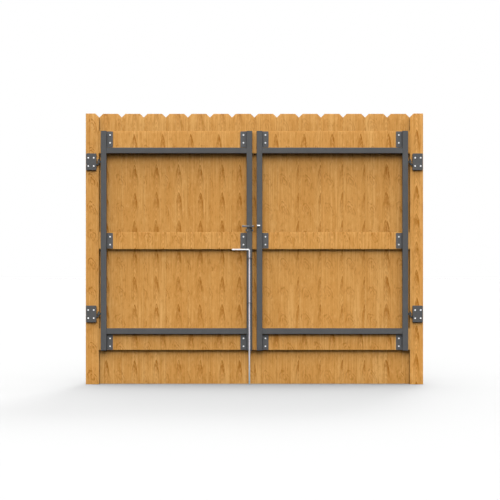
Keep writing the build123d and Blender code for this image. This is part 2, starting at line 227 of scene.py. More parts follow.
class GateTimberSettings(bpy.types.PropertyGroup):
    """Sizes and colours of the boards, rails and posts."""

    picket_colour: FloatVectorProperty(
        name="Picket colour", description="Main colour of the pickets",
        subtype="COLOR", size=3, min=0.0, max=1.0, default=(0.655, 0.316, 0.074))
    rail_colour: FloatVectorProperty(
        name="Rail colour", description="Main colour of the rails",
        subtype="COLOR", size=3, min=0.0, max=1.0, default=(0.655, 0.316, 0.074))
    post_colour: FloatVectorProperty(
        name="Post colour", description="Main colour of the posts",
        subtype="COLOR", size=3, min=0.0, max=1.0, default=(0.655, 0.316, 0.074))
    late_wood: FloatVectorProperty(
        name="Late wood", description="Colour of the dark growth lines",
        subtype="COLOR", size=3, min=0.0, max=1.0, default=(0.360, 0.122, 0.003))
    pale_wood: FloatVectorProperty(
        name="Pale wood", description="Colour of the lightest streaks",
        subtype="COLOR", size=3, min=0.0, max=1.0, default=(0.815, 0.470, 0.160))
    ease: FloatProperty(
        name="Eased edge", description="Rounding of the sawn edges",
        unit="LENGTH", min=0.0, default=1.1 * MM)
    ear: FloatProperty(
        name="Dog-ear", description="Height and width of the cut corners",
        unit="LENGTH", min=0.0, default=25.0 * MM)
    meeting_grow: FloatProperty(
        name="Meeting edge", description="How much wider the boards at the middle of the gate are drawn",
        unit="LENGTH", min=0.0, default=2.68 * MM)
    post_grow: FloatProperty(
        name="Post edge", description="How much wider the boards beside the posts are drawn",
        unit="LENGTH", min=0.0, default=2.4 * MM)
    board_grow: FloatProperty(
        name="Board edge", description="How much wider every picket is drawn at each side",
        unit="LENGTH", min=0.0, default=0.2 * MM)
    foot_grow: FloatProperty(
        name="Foot", description="How much lower the pickets are drawn",
        unit="LENGTH", min=0.0, default=4.5 * MM)
    head_figure: FloatProperty(
        name="Head figure", description="Share of the figure that the weathered heads of the pickets keep",
        min=0.0, max=1.0, default=0.6)
    nail_radius: FloatProperty(
        name="Nail head", description="Radius of a nail head",
        unit="LENGTH", min=0.0, default=3.6 * MM)


class GateSteelSettings(bpy.types.PropertyGroup):
    """Sizes and colours of the coated frame and the plated fittings."""

    coat_colour: FloatVectorProperty(
        name="Coat colour", description="Colour of the powder coat",
        subtype="COLOR", size=3, min=0.0, max=1.0, default=(0.0535, 0.0545, 0.0563))
    # Painted light: lighter than the coat, to even out the shade the tabs sit in beside the stiles
    tab_lightened_colour: FloatVectorProperty(
        name="Tab colour", description="Colour of the thinner coat on the tab plates",
        subtype="COLOR", size=3, min=0.0, max=1.0, default=(0.0770, 0.0780, 0.0806))
    # The zinc colour also goes over the rod's handle as a painted highlight
    zinc_colour: FloatVectorProperty(
        name="Zinc colour", description="Colour of the plated fittings",
        subtype="COLOR", size=3, min=0.0, max=1.0, default=(0.930, 0.930, 0.945))
    rod_colour: FloatVectorProperty(
        name="Rod colour", description="Colour of the dull plate on the drop rod and the keeper",
        subtype="COLOR", size=3, min=0.0, max=1.0, default=(0.770, 0.730, 0.790))
    foot_colour: FloatVectorProperty(
        name="Rod foot colour", description="Colour of the weathered plate near the ground",
        subtype="COLOR", size=3, min=0.0, max=1.0, default=(0.300, 0.430, 0.500))
    # Also the black of the latch and keeper screws, which stands in for shadow: painted shadow
    plug_and_painted_shadow_colour: FloatVectorProperty(
        name="Plug colour", description="Colour of the plastic tube plugs and black screws",
        subtype="COLOR", size=3, min=0.0, max=1.0, default=(0.020, 0.020, 0.021))
    rubbed_colour: FloatVectorProperty(
        name="Rubbed colour", description="Colour of steel where the coat has rubbed thin",
        subtype="COLOR", size=3, min=0.0, max=1.0, default=(0.260, 0.268, 0.280))
    head_across: FloatProperty(
        name="Bolt head", description="Bolt head, across its flats",
        unit="LENGTH", min=0.0, default=9.5 * MM)
    head_height: FloatProperty(
        name="Bolt head height", description="Height of a bolt head over its washer",
        unit="LENGTH", min=0.0, default=3.8 * MM)
    washer_radius: FloatProperty(
        name="Washer", description="Radius of the washer under a bolt head",
        unit="LENGTH", min=0.0, default=5.75 * MM)
    screw_radius: FloatProperty(
        name="Screw head", description="Radius of a socket screw's head",
        unit="LENGTH", min=0.0, default=5.3 * MM)
    weld_leg: FloatProperty(
        name="Weld leg", description="Leg of a fillet weld",
        unit="LENGTH", min=0.0, default=3.2 * MM)
    weld_ripple: FloatProperty(
        name="Weld ripple", description="Distance between the ripples of a weld",
        unit="LENGTH", min=0.0, default=3.5 * MM)


class GateStageSettings(bpy.types.PropertyGroup):
    """Camera, lamps and floor."""

    distance: FloatProperty(
        name="Camera distance", description="Distance from the pickets to the camera",
        unit="LENGTH", min=0.0, default=16.3)
    height: FloatProperty(
        name="Camera height", description="Height of the camera over the ground",
        unit="LENGTH", min=0.0, default=0.907)
    aside: FloatProperty(
        name="Camera aside", description="How far the camera stands left of the middle line",
        unit="LENGTH", default=0.030)
    focal: FloatProperty(
        name="Focal length", description="Focal length on a 36 mm sensor, in millimetres",
        min=1.0, default=173.4)
    sky: FloatProperty(
        name="Sky", description="Strength of the sky overhead",
        min=0.0, default=4.33)
    sky_low: FloatProperty(
        name="Low sky", description="Share of the sky's strength that it keeps at the horizon",
        min=0.0, max=1.0, default=0.12)
    sky_power: FloatProperty(
        name="Sky power", description="How steeply the sky brightens from the horizon up",
        min=0.0, default=3.65)
    box: FloatProperty(
        name="Soft boxes", description="Strength of the soft boxes before and behind the gate",
        min=0.0, default=6.43)
    box_height: FloatProperty(
        name="Soft box height", description="Angle of the soft boxes over the horizon",
        subtype="ANGLE", min=0.0, default=math.radians(26.0))
    box_core: FloatProperty(
        name="Soft box core", description="Angle from a soft box's middle to where its light starts to fall",
        subtype="ANGLE", min=0.0, default=math.radians(5.7))
    box_edge: FloatProperty(
        name="Soft box edge", description="Angle from a soft box's middle to where its light ends",
        subtype="ANGLE", min=0.0, default=math.radians(21.8))
    sun: FloatProperty(
        name="Back light", description="Strength of the soft light from behind",
        min=0.0, default=1.7)
    sun_height: FloatProperty(
        name="Back light height", description="Angle of the back light over the ground",
        subtype="ANGLE", min=0.0, default=math.radians(26.0))
    sun_turn: FloatProperty(
        name="Back light turn", description="How far the back light stands to the right of straight behind",
        subtype="ANGLE", default=math.radians(8.0))
    sun_spread: FloatProperty(
        name="Back light spread", description="Angle that the back light fills",
        subtype="ANGLE", min=0.0, default=math.radians(14.0))
    floor_seen: FloatProperty(
        name="Floor", description="Whiteness of the floor",
        min=0.0, max=1.0, default=0.40)
    floor_bounce: FloatProperty(
        name="Floor bounce", description="Share of the light that the floor gives back",
        min=0.0, max=1.0, default=0.03)


# Meshes from arrays


def outward(points, faces):
    """Faces turned so that they enclose a positive volume.

    The volume is a sixth of the sum of p0 . (p1 x p2) over the triangles of a fan from each face's
    first corner.
    """
    fans = np.array([(f[0], f[k], f[k + 1]) for f in faces for k in range(1, len(f) - 1)])
    first, second, third = points[fans[:, 0]], points[fans[:, 1]], points[fans[:, 2]]
    if np.einsum("ij,ij->i", first, np.cross(second, third)).sum() < 0:
        return [tuple(reversed(f)) for f in faces]
    return faces


def add_piece(name, points, faces, material, body, slot):
    """Mesh object at the origin that rides on a body. The slot argument is not used."""
    mesh = bpy.data.meshes.new(name)
    mesh.from_pydata(points.tolist(), [], faces)
    mesh.polygons.foreach_set("use_smooth", np.ones(len(mesh.polygons), dtype=bool))
    mesh.set_sharp_from_angle(angle=SHARP_EDGE)
    mesh.materials.append(material)
    mesh.update()
    piece = bpy.data.objects.new(name, mesh)
    bpy.context.scene.collection.objects.link(piece)
    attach(piece, body)
    return piece


def give_attribute(piece, name, kind, values):
    """Per-point attribute that a material reads."""
    field = "vector" if kind == "FLOAT_VECTOR" else "value"
    attribute = piece.data.attributes.new(name, kind, "POINT")
    attribute.data.foreach_set(field, np.ascontiguousarray(values, dtype=np.float32).ravel())


def ring_faces(rows, count):
    """Quads of a grid of rows by count points that is closed round the count."""
    r = np.arange(rows - 1)[:, None] * count
    k = np.arange(count)[None, :]
    nxt = (k + 1) % count
    quads = np.stack([r + k, r + nxt, r + count + nxt, r + count + k], axis=-1)
    return [tuple(q) for q in quads.reshape(-1, 4).tolist()]


def closed_rings(grid, origin):
    """Points and faces of a grid of rings, closed by one face at each end. origin is a point near it."""
    rows, count = grid.shape[:2]
    points = grid.reshape(-1, 3)
    faces = ring_faces(rows, count)
    faces += [tuple(reversed(range(count))), tuple(range((rows - 1) * count, rows * count))]
    return points, outward(points - origin, faces)


def join(parts):
    """One point array and face list from several."""
    points = np.concatenate([p for p, _ in parts])
    starts = np.cumsum([0] + [len(p) for p, _ in parts[:-1]])
    faces = [tuple(i + s for i in f) for (_, fs), s in zip(parts, starts.tolist()) for f in fs]
    return points, faces


def board_profile(width, thick, ease, across_points):
    """Half of a board's section, from the middle of one edge over the front to the other edge.

    The front runs at depth -thick / 2. Each corner is a quarter circle of radius ease.
    Gives across, depth, and the outward normal's two parts.
    """
    bend = np.linspace(0.0, math.pi / 2, CORNER_POINTS)
    cos, sin = np.cos(bend), np.sin(bend)
    half, flat = width / 2, np.ones(len(across_points))
    left_a = -half + ease - ease * cos
    left_d = -thick / 2 + ease - ease * sin
    a = np.concatenate([[-half], left_a, across_points, -left_a[::-1], [half]])
    d = np.concatenate([[0.0], left_d, -thick / 2 * flat, left_d[::-1], [0.0]])
    na = np.concatenate([[-1.0], -cos, 0.0 * flat, cos[::-1], [1.0]])
    nd = np.concatenate([[0.0], -sin, -flat, -sin[::-1], [0.0]])
    return a, d, na, nd


def board_grid(width, thick, length, ease, ears, rows):
    """Board as a closed grid: (across, depth, along) points, faces, and a mask of the sawn ends.

    The section goes round the board, and the rows go along it. The end of the board lies at
    length less what an ear takes: the distance past the line where that ear starts.
    Rows near both ends are pulled in along a quarter circle, so the end edges are eased too.
    ears is (at the low side, at the high side), each zero or a size.
    """
    half = width / 2
    inner = np.linspace(-half + ease, half - ease, FLAT_POINTS + 2)[1:-1]
    marks = [-half + ears[0]] * (ears[0] > 0) + [half - ears[1]] * (ears[1] > 0)
    a, d, na, nd = board_profile(width, thick, ease, np.unique(np.concatenate([inner, marks])))
    a, na = (np.concatenate([part, part[-2:0:-1]]) for part in (a, na))
    d, nd = (np.concatenate([part, -part[-2:0:-1]]) for part in (d, nd))
    turn = np.linspace(0.0, END_TURN, END_ROWS)
    inset = ease * (1.0 - np.cos(turn))
    back = ease * (np.sin(turn[-1]) - np.sin(turn))
    plain = np.zeros(rows - 2)
    share = np.concatenate([np.zeros(END_ROWS), np.linspace(0.0, 1.0, rows)[1:-1], np.ones(END_ROWS)])
    pull = np.concatenate([inset[::-1], plain, inset])
    shift = np.concatenate([back[::-1], plain, -back])
    across = a[None, :] - pull[:, None] * na[None, :]
    depth = d[None, :] - pull[:, None] * nd[None, :]
    low_cut = np.maximum(0.0, ears[0] - (across + half)) * (ears[0] > 0)
    high_cut = np.maximum(0.0, ears[1] - (half - across)) * (ears[1] > 0)
    along = share[:, None] * (length - low_cut - high_cut) + shift[:, None]
    total, count = across.shape
    k = np.arange(1, count // 2 - 1)
    cap = [tuple(q) for q in np.stack([k, k + 1, count - k - 1, count - k], axis=-1).tolist()]
    cap += [(0, 1, count - 1), (count // 2, count // 2 + 1, count // 2 - 1)]
    last = (total - 1) * count
    faces = ring_faces(total, count) + cap + [tuple(i + last for i in reversed(f)) for f in cap]
    ends = np.zeros((total, count))
    ends[[0, -1]] = 1.0
    return np.stack([across, depth, along], axis=-1).reshape(-1, 3), faces, ends.ravel()


def place_board(name, node, ears, ease, rows, material, body, slot, seed, figure, grow=(0.0, 0.0, 0.0)):
    """Board in place of a CAD node, with its own grain lines.

    The grain attribute holds (across, depth, along) with along upright, from the figure's origin:
    figure is where a flame's point lies, in millimetres aside from the board's middle and up from its
    foot. The end attribute is one on the sawn ends, the front attribute is the depth of the front, and
    the tone attribute is one random shade per board. grow widens the board at its low and high side
    and lengthens it at its foot.
    """
    low, high = node_box(node)
    low[0] -= grow[0]
    high[0] += grow[1]
    low[2] -= grow[2]
    size = high - low
    grid, faces, ends = board_grid(*size, ease, ears, rows)
    points = grid + np.array([(low[0] + high[0]) / 2, (low[1] + high[1]) / 2, low[2]])
    rng = np.random.default_rng(seed)
    board = add_piece(name, points, outward(points, faces), material, body, slot)
    aside = figure[0] * MM + rng.uniform(-FIGURE_PLAY, FIGURE_PLAY)
    up = figure[1] * MM + grow[2] + rng.uniform(-FIGURE_PLAY, FIGURE_PLAY)
    give_attribute(board, "grain", "FLOAT_VECTOR", grid - np.array([aside, 0.0, up]))
    give_attribute(board, "front", "FLOAT", np.full(len(points), -size[1] / 2))
    give_attribute(board, "end", "FLOAT", ends)
    give_attribute(board, "tone", "FLOAT", np.full(len(points), rng.uniform(0.0, 1.0)))
    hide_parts(node)
    return board


def turned(profile, sides, axis, centre, hex_rows=(), across=0.0):
    """Surface of revolution about an axis through a centre, closed at both ends.

    profile rows are (radius, height). A row in hex_rows is limited to a hexagon: its radius is the
    smaller of its own and across / 2 over the cosine of the angle to the nearest flat.
    """
    profile, axis = np.asarray(profile, dtype=float), np.asarray(axis)
    turn = np.arange(sides) * FULL_TURN / sides
    sixth = FULL_TURN / 6
    flat = across / 2 / np.cos((turn + sixth / 2) % sixth - sixth / 2)
    radius = np.repeat(profile[:, :1], sides, axis=1)
    rows = list(hex_rows)
    radius[rows] = np.minimum(radius[rows], flat[None, :])
    side = np.array(UP if abs(axis[2]) < 0.5 else RIGHT)
    ring = np.cos(turn)[:, None] * side + np.sin(turn)[:, None] * np.cross(axis, side)
    grid = np.asarray(centre) + radius[..., None] * ring + profile[:, 1][:, None, None] * axis
    return closed_rings(grid, np.asarray(centre))


def bolt_shape(steel, centre):
    """Hexagon head with a chamfered top on a round washer, standing on a face towards the front."""
    washer, across = steel.washer_radius, steel.head_across
    corner, seat = across / math.sqrt(3.0), 1.6 * MM
    top = seat + steel.head_height
    profile = [
        (washer, 0.0), (washer, 1.2 * MM), (washer - 0.4 * MM, seat),
        (corner, seat), (corner, top - 1.2 * MM), (across / 2, top - 0.3 * MM),
        (across / 2 - 0.8 * MM, top), (0.4 * MM, top),
    ]
    return turned(profile, ROUND_SIDES, FRONT, centre, hex_rows=(3, 4, 5), across=across)


def screw_shape(radius, centre):
    """Low domed head with a hexagon socket, standing on a face towards the front."""
    socket = 0.42 * radius
    corner, floor = 1.155 * socket, 1.0 * MM
    profile = [
        (radius, 0.0), (radius, 0.9 * MM), (0.86 * radius, 1.7 * MM), (0.62 * radius, 2.2 * MM),
        (1.25 * socket, 2.4 * MM), (corner, 2.4 * MM), (corner, floor), (0.1 * MM, floor),
    ]
    return turned(profile, ROUND_SIDES, FRONT, centre, hex_rows=(5, 6), across=2.0 * socket)


def nail_shape(radius, centre, axis):
    """Flat round nail head with a rounded rim."""
    profile = [(radius, 0.0), (radius, 0.35 * MM), (radius - 0.5 * MM, 0.8 * MM), (0.3 * MM, 0.9 * MM)]
    return turned(profile, NAIL_SIDES, axis, centre)


def bead_shape(steel, start, end, first, second, size=1.0):
    """Fillet weld between two faces, from start to end.

    The section is a quarter circle between the directions first and second, closed through the corner.
    Its radius is leg times (1 + a tenth of a cosine of the way along), and falls almost to nothing at both
    ends along a circle one leg long.
    """
    leg, ripple = steel.weld_leg * size, steel.weld_ripple
    start, end, first, second = (np.asarray(part, dtype=float) for part in (start, end, first, second))
    length = np.linalg.norm(end - start)
    way = np.linspace(0.0, length, max(BEAD_ROWS, int(length / ripple * RIPPLE_ROWS)))
    edge = np.minimum(1.0, np.minimum(way, length - way) / leg)
    swell = np.sqrt(1.0 - (1.0 - edge) ** 2) * (1.0 + BEAD_RIPPLE * np.cos(FULL_TURN * way / ripple))
    radius = leg * np.maximum(swell, BEAD_TIP)
    bend = np.linspace(0.0, math.pi / 2, BEAD_POINTS)
    arc = np.cos(bend)[:, None] * first + np.sin(bend)[:, None] * second
    section = np.concatenate([arc, [-(first + second) * BEAD_ROOT]])
    middle = start + way[:, None] / length * (end - start)
    return closed_rings(middle[:, None, :] + radius[:, None, None] * section[None, :, :], start)


def plug_shape(low, high):
    """Square cap with rounded corners under a tube.

    The outline is a superellipse of power 10, (|cos|^0.2, |sin|^0.2) with their signs, carried up a
    profile of (share of the tube's half width, height).
    """
    centre = (low + high) / 2
    half = (high[0] - low[0]) / 2
    profile = np.array([
        (0.60, -2.4), (0.90, -2.2), (0.97, -1.4), (0.97, 0.0), (0.86, 0.0), (0.86, 14.0), (0.80, 14.0)])
    turn = np.arange(PLUG_SIDES) * FULL_TURN / PLUG_SIDES
    round_way = np.stack([np.cos(turn), np.sin(turn)], axis=-1)
    ring = np.sign(round_way) * np.abs(round_way) ** 0.2 * half
    flat = profile[:, 0][:, None, None] * ring[None] + centre[:2]
    tall = np.broadcast_to((low[2] + profile[:, 1] * MM)[:, None, None], flat.shape[:2] + (1,))
    return closed_rings(np.concatenate([flat, tall], axis=-1), centre)


# Shader groups and materials


class Value:
    """Output of a node. Its sums, products and the like lay math nodes."""

    def __init__(self, layer, socket):
        self.layer, self.socket = layer, socket

    def __add__(self, other):
        return self.layer.math("ADD", self, other)

    def __sub__(self, other):
        return self.layer.math("SUBTRACT", self, other)

    def __rsub__(self, other):
        return self.layer.math("SUBTRACT", other, self)

    def __mul__(self, other):
        return self.layer.math("MULTIPLY", self, other)

    def __truediv__(self, other):
        return self.layer.math("DIVIDE", self, other)


class NodeLayer:
    """Short calls that lay shader nodes into a tree.

    An input is a number, a colour or another node's output.
    """

    def __init__(self, tree):
        self.tree = tree

    def put(self, socket, given):
        """Link or set one input."""
        given = getattr(given, "socket", given)
        if isinstance(given, bpy.types.NodeSocket):
            self.tree.links.new(given, socket)
        else:
            socket.default_value = given

    def node(self, kind, inputs, **settings):
        """One node with its settings and its inputs."""
        node = self.tree.nodes.new("ShaderNode" + kind)
        for label, setting in settings.items():
            setattr(node, label, setting)
        for label, given in inputs.items():
            self.put(node.inputs[label], given)
        return node

    def value(self, kind, inputs, output=0, **settings):
        """One output of a new node."""
        return Value(self, self.node(kind, inputs, **settings).outputs[output])

    def math(self, operation, *inputs, clamp=False):
        """One math node."""
        return self.value("Math", dict(enumerate(inputs)), operation=operation, use_clamp=clamp)

    def far(self, first, second):
        """Square root of the sum of two squares."""
        return self.math("SQRT", first * first + second * second)

    def split(self, vector):
        """The three parts of a vector."""
        return [Value(self, socket) for socket in self.node("SeparateXYZ", {0: vector}).outputs]

    def noise(self, vector, scale, detail, roughness):
        """Noise texture, about 0 to 1."""
        inputs = {"Vector": vector, "Scale": scale, "Detail": detail, "Roughness": roughness}
        return self.value("TexNoise", inputs, "Fac")

    def streaks(self, parts, scales, detail, roughness):
        """Noise of three parts, each times its own scale."""
        scaled = {index: part * scale for index, (part, scale) in enumerate(zip(parts, scales))}
        return self.noise(self.value("CombineXYZ", scaled), 1.0, detail, roughness)

    def ease(self, given, low, high, to_low=0.0, to_high=1.0):
        """Smooth step from low to high."""
        inputs = {"Value": given, "From Min": low, "From Max": high, "To Min": to_low, "To Max": to_high}
        return self.value("MapRange", inputs, interpolation_type="SMOOTHSTEP")

    def band(self, given, start, full, fade, end):
        """Smooth step up from start to full, and down again from fade to end."""
        return self.ease(given, start, full) * self.ease(given, fade, end, 1.0, 0.0)

    def mix(self, factor, first, second, blend="MIX"):
        """Mix of two colours."""
        return self.value("Mix", {0: factor, 6: first, 7: second}, 2, data_type="RGBA", blend_type=blend)


class EffectGroup(NodeLayer):
    """Shader node group that gives a colour, a roughness and a height.

    inputs maps each input to its default: a number, a colour, or None for a vector.
    """

    def __init__(self, name, inputs):
        super().__init__(bpy.data.node_groups.new(name, "ShaderNodeTree"))
        for label, default in inputs.items():
            kind = "Vector" if default is None else "Color" if isinstance(default, tuple) else "Float"
            socket = self.tree.interface.new_socket(label, in_out="INPUT", socket_type="NodeSocket" + kind)
            if default is not None:
                socket.default_value = default
        for label, kind in (("Colour", "Color"), ("Roughness", "Float"), ("Height", "Float")):
            self.tree.interface.new_socket(label, in_out="OUTPUT", socket_type="NodeSocket" + kind)
        self.source = self.tree.nodes.new("NodeGroupInput")

    def __getitem__(self, label):
        """Input of the group."""
        return Value(self, self.source.outputs[label])

    def finish(self, *outputs):
        """Connect the colour, the roughness and the height, and give the tree."""
        sink = self.tree.nodes.new("NodeGroupOutput")
        for socket, given in zip(sink.inputs, outputs):
            self.put(socket, given)
        return self.tree


def timber_group():
    """Grain of a flat-sawn board, repeated every 190 mm across and 189 mm along.

    Growth lines lie where along + 6.2 * (sqrt(across^2 + 11 mm^2) - 11 mm) passes a multiple of the ring
    spacing, bent by slow noise: nested pointed arches in the middle and straight lines at the edges.
    One arch in six is a dark flame with its point at the figure's origin. Half a figure aside and
    112 mm lower lies a whorl: slanted ellipses of radius 27 by 40 mm, broken up by noise and strongest
    over their upper half.
    On the narrow sides the growth lines fall 9 mm for each millimetre behind the front.
    Fine streaks, specks and short pores run along the board. Sawn ends show growth rings about a far heart.
    Over the top rail, 1.71 m up, the pickets' weathered heads keep only a share of the figure.
    """
    g = EffectGroup("Flat sawn grain", {
        "Grain": None, "Front": 0.0, "Tone": 0.5, "End": 0.0, "Place": None, "Head figure": 1.0,
        "Body": GREY, "Late wood": GREY, "Pale wood": GREY, "Flame": 0.6, "Lines": 0.3, "Lift": 1.0})
    front, dark, light = g["Front"], g["Late wood"], g["Pale wood"]
    wide, depth, along = g.split(g["Grain"])
    half, half_tall = FIGURE_WIDE / 2, FIGURE_TALL / 2
    across = g.math("WRAP", wide, half, -half)
    place = g.math("FLOOR", (wide + half) / FIGURE_WIDE)
    shade = g["Tone"] * TONE_STEP + place * PLACE_STEP
    figure = (across, shade, along)
    off = across + (g.streaks(figure, *SLOW_NOISE) - 0.5) * WANDER

    # Growth lines, flames and the specks under them
    arch = (g.far(off, ARCH_ROUND) - ARCH_ROUND) * ARCH_STEEP
    turn = (along + arch + front * FRONT_SHIFT + (depth - front) * SIDE_STEEP) / FIGURE_TALL
    line = g.band(g.math("FRACT", turn * RINGS), *RING_BAND)
    patchy = g.ease(g.streaks(figure, *PATCH_NOISE), *PATCHY_STEP)
    cycle = g.math("FRACT", turn)
    near = g.ease(g.math("ABSOLUTE", off), *FLAME_NEAR, 1.0, 0.0)
    lean = g.ease(off, -FLAME_LEAN, FLAME_LEAN, 0.66, 1.0)
    flame = g.band(cycle, *FLAME_BAND) * near * lean * (patchy * 0.64 + 0.36)
    speck = g.band(cycle, *SPECK_BAND) * near * (1.0 - patchy)

    # Whorls between the flames
    aside = g.math("WRAP", off + half, half, -half)
    below = g.math("WRAP", along + WHORL_DOWN, half_tall, -half_tall)
    slant = below + aside * WHORL_SLANT
    curl = (g.streaks(figure, *CURL_NOISE) - 0.5) * WHORL_CURL
    radius = g.far(aside / WHORL_WIDE, slant / WHORL_TALL) + curl
    whorl = g.band(g.math("FRACT", radius / WHORL_LOOP), *LOOP_BAND) * patchy
    whorl = whorl * g.ease(radius, *WHORL_RIM, 1.0, 0.0) * g.ease(slant, *WHORL_FOOT)
    strong = g.math("ADD", flame, whorl * 0.60 + speck * 0.35, clamp=True)
    strong = strong * g.ease(g.split(g["Place"])[2], *HEADS, 1.0, g["Head figure"])

    # Streaks, flecks and pores, then the colour from masks, their shares and their tints
    streak = g.streaks((off, shade + depth * STREAK_NOISE[0][0], along), *STREAK_NOISE)
    fine = g.streaks((across, depth, along), *PORE_NOISE)
    broad = g.streaks(figure, *BROAD_NOISE) - 0.5
    pale = g.ease(streak + broad * 0.5, *PALE_STEP)
    fleck = g.streaks((off, shade, along), *FLECK_NOISE)
    colour = g["Body"]
    for mask, share, tint in (
        (pale, 0.78, light),
        (g.ease(streak, *DARK_STEP), 0.28, dark),
        (g.ease(fleck, *DARK_FLECK_STEP), 0.36, dark),
        (g.ease(fleck, *PALE_FLECK_STEP), 0.40, light),
        (line, g["Lines"], dark),
        (strong, g["Flame"], dark),
        (g.ease(fine, *PORE_STEP), 0.35, dark),
    ):
        colour = g.mix(mask * share, colour, tint)

    # Sawn ends
    year = (g.far(off, depth + HEART_DEPTH) + fine * YEAR_PLAY) / YEAR
    rings = g.band(g.math("FRACT", year), *YEAR_BAND)
    sawn = g.mix(rings * 0.40 + 0.35, g["Body"], dark)
    colour = g.mix(g["End"], colour, g.mix(1.0, sawn, SAWN_SHADE, "MULTIPLY"))

    lift = g["Lift"] * (g["Tone"] * 0.03 + 0.985)
    rough = pale * 0.10 + strong * -0.08 + g["End"] * 0.25 + 0.52
    height = streak * 0.5 + fine * 0.35 + line * -0.30 + strong * -0.25
    return g.finish(g.value("VectorMath", {0: colour, "Scale": lift}, operation="SCALE"), rough, height)


def coat_group():
    """Powder coat: fine orange peel, slow changes of shade, chalky dust in patches, and rubbed streaks."""
    g = EffectGroup("Powder coat", {"Place": None, "Body": GREY, "Dust": 0.08, "Bare": GREY, "Rubbed": 0.0})
    place = g["Place"]
    peel, grit = g.noise(place, *PEEL_NOISE), g.noise(place, *GRIT_NOISE)
    cloud, patch = g.noise(place, *CLOUD_NOISE), g.noise(place, *DUST_NOISE)
    dust = g.ease(cloud * 0.5 + patch * 0.5, *DUST_STEP) * g["Dust"]
    speckle = g.ease(grit, *GRIT_STEP) * 0.10
    bare = g.ease(g.streaks(g.split(place), *SCUFF_NOISE), *BARE_STEP) * g["Rubbed"]
    colour = g["Body"]
    for mask, tint in ((dust, DUST_COLOUR), (speckle, GRIT_COLOUR), (bare, g["Bare"])):
        colour = g.mix(mask, colour, tint)
    rough = dust * 0.8 + peel * 0.10 + bare * -0.10 + 0.46
    return g.finish(colour, rough, peel * 0.7 + grit * 0.3)


def zinc_group():
    """Zinc plate: small crystals of different shade, faint drawing lines, dull patches and a grey foot.

    The foot's share grows from nothing 280 mm over the ground to all of it at the ground. From 900 mm up,
    the plate is painted brighter: a painted highlight that stands for the light on the top-lit handle.
    """
    g = EffectGroup("Zinc plate", {
        "Place": None, "Body": GREY, "Shadow": GREY, "Foot": GREY, "Weathered": 0.0, "Bright": GREY})
    place, shadow, weathered = g["Place"], g["Shadow"], g["Weathered"]
    parts = g.split(place)
    cells = g.value("TexVoronoi", {"Vector": place, "Scale": CRYSTAL_SCALE}, "Color")
    crystal = g.value("SeparateColor", {0: cells})
    dull = g.ease(g.noise(place, *DULL_NOISE), *DULL_STEP)
    # The weathered share sets both the grey foot and the painted highlight over the handle
    low = g.math("SUBTRACT", 1.0, parts[2] / WEATHERED_UNDER, clamp=True) * weathered
    # Painted highlight: from 900 mm up the plate takes the brighter zinc colour, for the light on the top-lit
    # handle
    painted_handle_highlight = g.ease(parts[2], *HANDLE_HIGHLIGHT_FROM) * weathered
    colour = g["Body"]
    for mask, tint in (
        (crystal * 0.16, shadow), (dull * 0.22, shadow), (low, g["Foot"]), (painted_handle_highlight, g["Bright"]),
    ):
        colour = g.mix(mask, colour, tint)
    height = g.streaks(parts, *DRAWN_NOISE) * 0.6 + crystal * 0.4
    return g.finish(colour, dull * 0.18 + crystal * 0.06 + 0.26, height)


def group_material(name, group, values, bump, strength, fixed, reads=None):
    """Material with one Principled shader fed by a group.

    values are constants on the group, bump and strength are the depth and share of its height, and fixed
    are constants on the shader. reads maps group inputs to (attribute, output). Place is Object coordinates.
    """
    material = bpy.data.materials.new(name)
    material.use_nodes = True
    layer = NodeLayer(material.node_tree)
    inputs = {**values, "Place": layer.value("TexCoord", {}, "Object")}
    for label, (attribute, output) in (reads or {}).items():
        inputs[label] = layer.value("Attribute", {}, output, attribute_name=attribute)
    user = layer.node("Group", inputs, node_tree=group).outputs
    relief = layer.value("Bump", {"Strength": strength, "Distance": bump, "Height": user["Height"]})
    made = {"Base Color": user["Colour"], "Roughness": user["Roughness"], "Normal": relief}
    shader = material.node_tree.nodes["Principled BSDF"]
    for label, value in {**fixed, **made}.items():
        layer.put(shader.inputs[label], value)
    return material


def once(name, make):
    """A data-block of that name, made the first time it is asked for."""
    found = bpy.data.node_groups.get(name) or bpy.data.materials.get(name)
    return found or make()


def timber_material(name, colour, look, head_figure=1.0):
    """Oiled timber that follows each board's own grain."""
    timber = bpy.context.scene.gate_timber
    flame, lines, lift = look
    values = {
        "Body": (*colour, 1.0), "Late wood": (*timber.late_wood, 1.0), "Pale wood": (*timber.pale_wood, 1.0),
        "Flame": flame, "Lines": lines, "Lift": lift, "Head figure": head_figure,
    }
    return once(name, lambda: group_material(
        name, once("Flat sawn grain", timber_group), values, TIMBER_BUMP, TIMBER_STRENGTH,
        {"Specular IOR Level": TIMBER_GLOSS}, TIMBER_READS))


def coat_material(name):
    """Powder coat, black oxide or moulded plastic, by its row in COATS."""
    steel = bpy.context.scene.gate_steel
    body, dust, rubbed, bump, strength, gloss = COATS[name]
    values = {
        "Body": (*getattr(steel, body), 1.0), "Dust": dust,
        "Bare": (*steel.rubbed_colour, 1.0), "Rubbed": rubbed,
    }
    return once(name, lambda: group_material(
        name, once("Powder coat", coat_group), values, bump, strength, {"Specular IOR Level": gloss}))


def zinc_material(name):
    """Zinc plate by its row in ZINCS. A weathered one is grey near the ground and has a painted highlight up
    high.
    """
    steel = bpy.context.scene.gate_steel
    body, shadow, weathered, metal = ZINCS[name]
    body = getattr(steel, body)
    # The bright zinc colour also serves as the painted highlight over the rod's handle
    values = {
        "Body": (*body, 1.0), "Shadow": (*(s * b for s, b in zip(shadow, body)), 1.0),
        "Foot": (*steel.foot_colour, 1.0), "Weathered": weathered, "Bright": (*steel.zinc_colour, 1.0),
    }
    return once(name, lambda: group_material(
        name, once("Zinc plate", zinc_group), values, ZINC_BUMP, ZINC_STRENGTH, {"Metallic": metal}))


# Pieces


